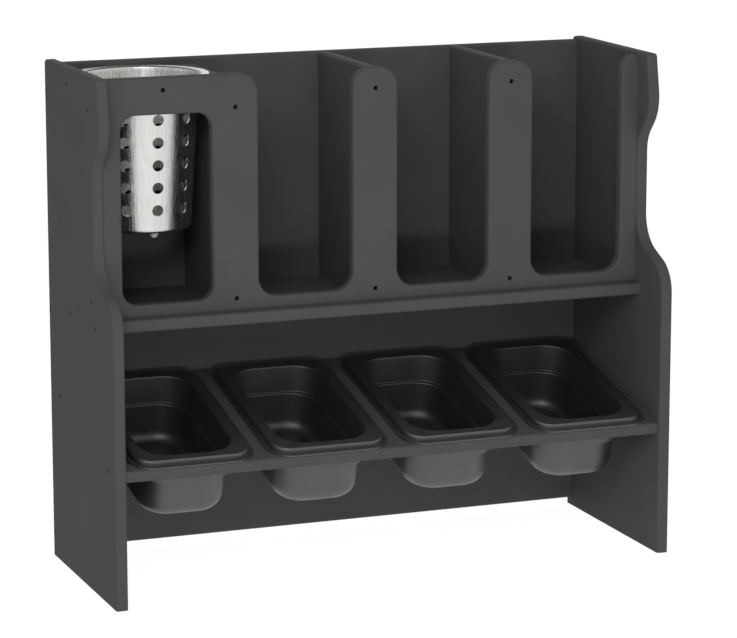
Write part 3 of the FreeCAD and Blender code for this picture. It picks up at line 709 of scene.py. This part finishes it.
def model_screw(sizes, length):
    """A trim-head screw along Z: top of its head at zero, plain neck, thread and point."""
    point = length - sizes.point_length
    neck_end = max(sizes.head_depth + NECK_LEAST, length * NECK_SHARE)
    parts = [
        model_head(sizes),
        add_round(sizes.neck_radius, sizes.neck_radius, sizes.head_depth - PART_OVERLAP, neck_end),
        add_round(sizes.core_radius, sizes.core_radius, neck_end - PART_OVERLAP, point),
        add_round(sizes.core_radius, 0.0, point, length),
        model_thread(sizes, neck_end + THREAD_RUN_IN, point + THREAD_RUN_OUT),
    ]
    screw = join(parts, "screw")
    bpy.ops.object.shade_smooth_by_angle(angle=math.radians(SMOOTH_ANGLE))
    return screw


def take_connected(left):
    """Takes the vertices of one connected solid out of a set."""
    solid = set()
    to_visit = [left.pop()]
    while to_visit:
        vert = to_visit.pop()
        solid.add(vert)
        near = {edge.other_vert(vert) for edge in vert.link_edges} & left
        left -= near
        to_visit += near
    return solid


def screw_place(solid):
    """Where one screw sits: top of its head, the way that it points, and its length in mm."""
    low = [min(vert.co[axis] for vert in solid) for axis in range(3)]
    high = [max(vert.co[axis] for vert in solid) for axis in range(3)]
    along = max(range(3), key=lambda axis: high[axis] - low[axis])
    ends = {low[along]: 1.0, high[along]: -1.0}
    # The head is round and flat, so more of the screw's vertices lie at that end.
    head_end = max(ends, key=lambda end: sum(abs(vert.co[along] - end) < NEAR for vert in solid))
    way = Vector((0.0, 0.0, 0.0))
    way[along] = ends[head_end]
    top = Vector([(a + b) / 2 for a, b in zip(low, high)])
    top[along] = head_end
    return top, way, round((high[along] - low[along]) / MM)


def screw_places(node):
    """Where each screw of a node sits, read from a merged copy of the node's mesh."""
    shape = bmesh.new()
    shape.from_mesh(node.data)
    shape.transform(node.matrix_world)
    bmesh.ops.remove_doubles(shape, verts=shape.verts, dist=WELD)
    left = set(shape.verts)
    places = []
    while left:
        places.append(screw_place(take_connected(left)))
    shape.free()
    return sorted(places, key=lambda place: tuple(place[0]))


def drive_screws(node_name, sizes, masters):
    """Sets a copy of the screw of the right length at each place of a node, as one piece."""
    pieces = []
    for top, way, length in screw_places(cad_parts[node_name]):
        if length not in masters:
            masters[length] = model_screw(sizes, length * MM)
        piece = masters[length].copy()
        piece.data = masters[length].data.copy()
        bpy.context.scene.collection.objects.link(piece)
        piece.location = top
        piece.rotation_euler = way.to_track_quat("Z", "Y").to_euler()
        pieces.append(settle(piece))
    return join(pieces, f"{node_name}_detailed")


# ---------------------------------------------------------------- stage


def shown_plainly(tree):
    """One where the camera, a reflection or a clear material looks, zero for all other light."""
    ray = add(tree, "ShaderNodeLightPath")
    mirrored = add(
        tree,
        "ShaderNodeMath",
        None,
        {0: ray.outputs["Is Camera Ray"], 1: ray.outputs["Is Glossy Ray"]},
        operation="MAXIMUM",
    )
    shown = add(
        tree,
        "ShaderNodeMath",
        None,
        {0: mirrored.outputs["Value"], 1: ray.outputs["Is Transmission Ray"]},
        operation="MAXIMUM",
    )
    return shown.outputs["Value"]


def add_floor():
    """A plain white floor that shows white where no shadow falls."""
    bpy.ops.object.select_all(action="DESELECT")
    bpy.ops.mesh.primitive_plane_add(size=FLOOR_SIZE, location=(0.0, 0.0, 0.0))
    floor = bpy.context.object
    floor.name = "floor"
    material, tree, output = new_material("paper_white_matte")
    paper = add(tree, "ShaderNodeBsdfDiffuse", {"Color": linear(WHITE)}).outputs["BSDF"]

    # The paper glows a little by itself, more so where it is seen than where it lights the rest.
    faces = []
    for glow, share in ((FLOOR_GLOW, FLOOR_GLOW_SHARE), (FLOOR_GLOW_SEEN, FLOOR_GLOW_SEEN_SHARE)):
        light = add(tree, "ShaderNodeEmission", {"Color": linear(WHITE), "Strength": glow})
        face = add(
            tree,
            "ShaderNodeMixShader",
            {0: share},
            {1: paper, 2: light.outputs["Emission"]},
        )
        faces.append(face.outputs["Shader"])
    floor_face = add(
        tree,
        "ShaderNodeMixShader",
        None,
        {0: shown_plainly(tree), 1: faces[0], 2: faces[1]},
    )
    tree.links.new(floor_face.outputs["Shader"], output.inputs["Surface"])
    dress(floor, material)


def add_world(level):
    """Even light all round; seen directly or in a reflection it is plain white."""
    world = bpy.data.worlds.new("even_white")
    bpy.context.scene.world = world
    tree, output = clear_tree(world, "ShaderNodeOutputWorld")
    strength = add(
        tree,
        "ShaderNodeMapRange",
        {"To Min": level, "To Max": 1.0},
        {"Value": shown_plainly(tree)},
    )
    sky = add(
        tree,
        "ShaderNodeBackground",
        {"Color": linear(WHITE)},
        {"Strength": strength.outputs["Result"]},
    )
    tree.links.new(sky.outputs["Background"], output.inputs["Surface"])


def add_card():
    """A dark card beside the object, which takes some light off the side panel that it faces."""
    bpy.ops.object.select_all(action="DESELECT")
    bpy.ops.mesh.primitive_plane_add(
        size=CARD_SIZE,
        location=CARD_PLACE,
        rotation=(0.0, math.radians(90.0), 0.0),
    )
    card = bpy.context.object
    card.name = "side_card"
    card.visible_camera = False
    card.visible_glossy = False
    material, tree, output = new_material("felt_black_matte")
    felt = add(tree, "ShaderNodeBsdfDiffuse", {"Color": linear(CARD_COLOUR)})
    tree.links.new(felt.outputs["BSDF"], output.inputs["Surface"])
    dress(card, material)


def add_lamp(name, place, aim, size, power, is_reflected):
    """A square area lamp that looks at a point, and shows in reflections or not."""
    lamp = bpy.data.lights.new(name, "AREA")
    lamp.size = size
    lamp.energy = power
    holder = bpy.data.objects.new(name, lamp)
    bpy.context.scene.collection.objects.link(holder)
    holder.location = place
    holder.rotation_euler = (Vector(aim) - Vector(place)).to_track_quat("-Z", "Y").to_euler()
    holder.visible_glossy = is_reflected


def add_camera(lens):
    """A long lens in front of the cabinet, to its left and above it, that looks down a little."""
    camera = bpy.data.cameras.new("camera")
    camera.sensor_width = CAMERA_SENSOR
    camera.lens = lens
    camera.clip_start = CAMERA_NEAREST
    camera.clip_end = CAMERA_FURTHEST
    holder = bpy.data.objects.new("camera", camera)
    bpy.context.scene.collection.objects.link(holder)
    holder.location = CAMERA_PLACE
    upright = math.radians(90.0 - CAMERA_TILT_DOWN)
    holder.rotation_euler = (upright, 0.0, math.radians(-CAMERA_TURN_RIGHT))
    bpy.context.scene.camera = holder


# ---------------------------------------------------------------- operators


class STATION_OT_boards(bpy.types.Operator):
    """Finish the routed boards"""

    bl_idname = "station.boards"
    bl_label = "Boards"

    def execute(self, context):
        material = make_polyethylene(context.scene.station_finishes.board_colour)
        for name in BOARDS:
            dress(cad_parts[name], material)
        return {"FINISHED"}


class STATION_OT_pans(bpy.types.Operator):
    """Finish the food pans"""

    bl_idname = "station.pans"
    bl_label = "Food pans"

    def execute(self, context):
        material = make_polycarbonate(context.scene.station_finishes.pan_colour)
        for name in PANS:
            dress(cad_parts[name], material)
        return {"FINISHED"}


class STATION_OT_cylinder(bpy.types.Operator):
    """Finish the perforated cylinder"""

    bl_idname = "station.cylinder"
    bl_label = "Cylinder"

    def execute(self, context):
        material = make_stainless(context.scene.station_finishes.steel_colour)
        dress(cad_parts[CYLINDER], material)
        return {"FINISHED"}


class STATION_OT_screws(bpy.types.Operator):
    """Model the screws in place of their plain shapes"""

    bl_idname = "station.screws"
    bl_label = "Screws"

    def execute(self, context):
        material = make_black_steel(context.scene.station_finishes.screw_colour)
        masters = {}
        for name in SCREWS:
            screws = drive_screws(name, context.scene.station_screws, masters)
            dress(screws, material)
            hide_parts(name)
            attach(screws, "cabinet")
        for master in masters.values():
            bpy.data.objects.remove(master)
        return {"FINISHED"}


class STATION_OT_stage(bpy.types.Operator):
    """Add the floor, the light and the camera"""

    bl_idname = "station.stage"
    bl_label = "Stage"

    def execute(self, context):
        stage = context.scene.station_stage
        add_floor()
        add_world(stage.world_level)
        add_card()
        add_lamp("high_front", KEY_LAMP_PLACE, KEY_LAMP_AIM, KEY_LAMP_SIZE, stage.key_lamp_power, True)
        add_lamp("low_front", LOW_LAMP_PLACE, LOW_LAMP_AIM, LOW_LAMP_SIZE, stage.low_lamp_power, False)
        add_camera(stage.lens)
        return {"FINISHED"}


STEPS = [STATION_OT_boards, STATION_OT_pans, STATION_OT_cylinder, STATION_OT_screws, STATION_OT_stage]
SETTINGS = {
    "station_finishes": StationFinishes,
    "station_screws": StationScrews,
    "station_stage": StationStage,
}


class STATION_PT_panel(bpy.types.Panel):
    """Lists the settings and the steps of the model"""

    bl_label = "Condiment station"
    bl_idname = "STATION_PT_panel"
    bl_space_type = "VIEW_3D"
    bl_region_type = "UI"
    bl_category = "Station"

    def draw(self, context):
        for owner, group in SETTINGS.items():
            for setting in group.__annotations__:
                self.layout.prop(getattr(context.scene, owner), setting)
        for step in STEPS:
            self.layout.operator(step.bl_idname)


CLASSES = [*SETTINGS.values(), *STEPS, STATION_PT_panel]


def register():
    for item in CLASSES:
        bpy.utils.register_class(item)
    for owner, group in SETTINGS.items():
        setattr(bpy.types.Scene, owner, PointerProperty(type=group))


def unregister():
    for owner in SETTINGS:
        delattr(bpy.types.Scene, owner)
    for item in reversed(CLASSES):
        bpy.utils.unregister_class(item)


def main():
    register()
    bpy.context.scene.view_settings.view_transform = "Standard"
    bpy.ops.station.boards()
    bpy.ops.station.pans()
    bpy.ops.station.cylinder()
    bpy.ops.station.screws()
    bpy.ops.station.stage()


if __name__ == "__main__":
    main()
